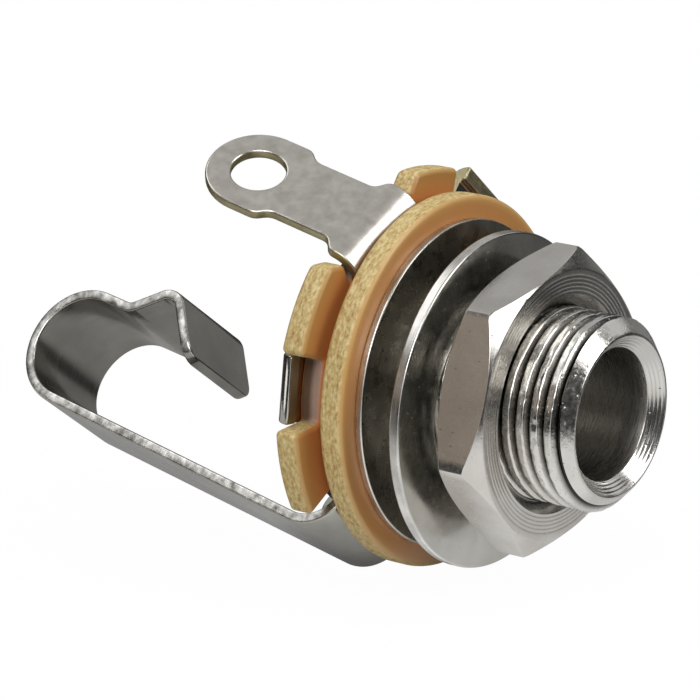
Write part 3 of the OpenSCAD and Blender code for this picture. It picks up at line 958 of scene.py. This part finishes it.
def floor():
    """White sheet under the socket, with painted light and shade that the metal sees grey towards its rear,
    its right and its middle.
    """
    made, tree, output = new_material("white_sheet")
    place = add(tree, "ShaderNodeTexCoord").outputs["Object"]
    parts = add(tree, "ShaderNodeSeparateXYZ", {0: place}).outputs
    factors = []
    for axis, start, end, at_start, at_end in FLOOR_GRADES:
        factors.append(add(tree, "ShaderNodeMapRange", {0: parts[axis], 1: start * MM, 2: end * MM,
                                                        3: at_start, 4: at_end}))
    for x, y, inner, outer, inside in FLOOR_SHADE_SPOTS:
        away = add(tree, "ShaderNodeVectorMath", {0: place, 1: (x * MM, y * MM, CAD_LOW.z)},
                   operation="DISTANCE").outputs["Value"]
        factors.append(add(tree, "ShaderNodeMapRange", {0: away, 1: inner * MM, 2: outer * MM,
                                                        3: inside, 4: 1}))
    shade = factors[0].outputs[0]
    for factor in factors[1:]:
        shade = add(tree, "ShaderNodeMath", {0: shade, 1: factor.outputs[0]}, operation="MULTIPLY").outputs[0]
    lit = add(tree, "ShaderNodeMath", {0: shade, 1: FLOOR_LIT}, operation="MULTIPLY").outputs[0]
    path = add(tree, "ShaderNodeLightPath").outputs
    straight = path["Is Camera Ray"]
    colour = add(tree, "ShaderNodeMix", {0: straight, 6: lit, 7: grey(1)}, data_type="RGBA").outputs[2]
    paper = add(tree, "ShaderNodeBsdfDiffuse", {"Color": colour})
    # The camera sees it nearly white, and mirrors see its painted light and shade glow
    glossy = add(tree, "ShaderNodeMath", {0: path["Is Glossy Ray"], 1: path["Is Transmission Ray"]},
                 operation="MAXIMUM").outputs[0]
    mirrored = add(tree, "ShaderNodeMath", {0: shade, 1: FLOOR_MIRRORED}, operation="MULTIPLY").outputs[0]
    mirrored = add(tree, "ShaderNodeMath", {0: glossy, 1: mirrored}, operation="MULTIPLY").outputs[0]
    seen = add(tree, "ShaderNodeMath", {0: straight, 1: FLOOR_SEEN}, operation="MULTIPLY").outputs[0]
    share = add(tree, "ShaderNodeMath", {0: seen, 1: mirrored}, operation="MAXIMUM").outputs[0]
    white = add(tree, "ShaderNodeEmission", {"Color": grey(1), "Strength": 1})
    mixed = add(tree, "ShaderNodeMixShader", {0: share, 1: paper.outputs[0], 2: white.outputs[0]})
    tree.links.new(mixed.outputs[0], output.inputs[0])
    deselect()
    x, y = FLOOR_MIDDLE
    bpy.ops.mesh.primitive_circle_add(vertices=96, radius=FLOOR_R * MM, fill_type="NGON",
                                      location=(x * MM, y * MM, CAD_LOW.z - FLOOR_GAP * MM))
    bpy.ops.object.transform_apply(location=True)
    sheet = bpy.context.object
    sheet.name = "floor"
    sheet.data.materials.append(made)


def panel(name, direction, distance, size, colour, strength):
    """A glowing panel that faces the socket from one side; the camera looks through it."""
    made, tree, output = new_material(name)
    light = add(tree, "ShaderNodeEmission", {"Color": linear(colour), "Strength": strength})
    tree.links.new(light.outputs[0], output.inputs[0])
    deselect()
    towards = Vector(direction).normalized()
    bpy.ops.mesh.primitive_plane_add(size=1, location=AIM + towards * distance * MM)
    card = bpy.context.object
    card.name = name
    card.scale = (size[0] * MM, size[1] * MM, 1)
    card.rotation_mode = "QUATERNION"
    card.rotation_quaternion = towards.to_track_quat("Z", "Y")
    card.data.materials.append(made)
    card.visible_camera = False


def walls():
    """Surroundings that are white to the camera, and dim to the metal."""
    world = bpy.data.worlds.new("studio")
    bpy.context.scene.world = world
    world.use_nodes = True
    tree = world.node_tree
    tree.nodes.clear()
    path = add(tree, "ShaderNodeLightPath").outputs
    glossy = add(tree, "ShaderNodeMath", {0: path["Is Glossy Ray"], 1: path["Is Transmission Ray"]},
                 operation="MAXIMUM").outputs[0]
    mirrored = add(tree, "ShaderNodeMath", {0: glossy, 1: WALLS_MIRRORED}, operation="MULTIPLY").outputs[0]
    share = add(tree, "ShaderNodeMath", {0: path["Is Camera Ray"], 1: mirrored},
                operation="MAXIMUM").outputs[0]
    dim = add(tree, "ShaderNodeBackground", {"Color": grey(WALLS), "Strength": 1})
    white = add(tree, "ShaderNodeBackground", {"Color": grey(1), "Strength": 1})
    mixed = add(tree, "ShaderNodeMixShader", {0: share, 1: dim.outputs[0], 2: white.outputs[0]})
    add(tree, "ShaderNodeOutputWorld", {0: mixed.outputs[0]})


def camera():
    """Camera at the photograph's angle."""
    data = bpy.data.cameras.new("camera")
    data.lens = LENS
    data.sensor_width = SENSOR
    data.clip_start, data.clip_end = 0.01, 10
    made = bpy.data.objects.new("camera", data)
    bpy.context.scene.collection.objects.link(made)
    back = Vector((math.sin(AZIMUTH) * math.cos(ELEVATION), -math.cos(AZIMUTH) * math.cos(ELEVATION),
                   math.sin(ELEVATION)))
    made.location = AIM + back * DISTANCE
    made.rotation_mode = "QUATERNION"
    made.rotation_quaternion = (-back).to_track_quat("-Z", "Y")
    bpy.context.scene.camera = made


walls()
floor()
for row in PANELS:
    panel(*row)
camera()
bpy.context.scene.view_settings.view_transform = "Standard"
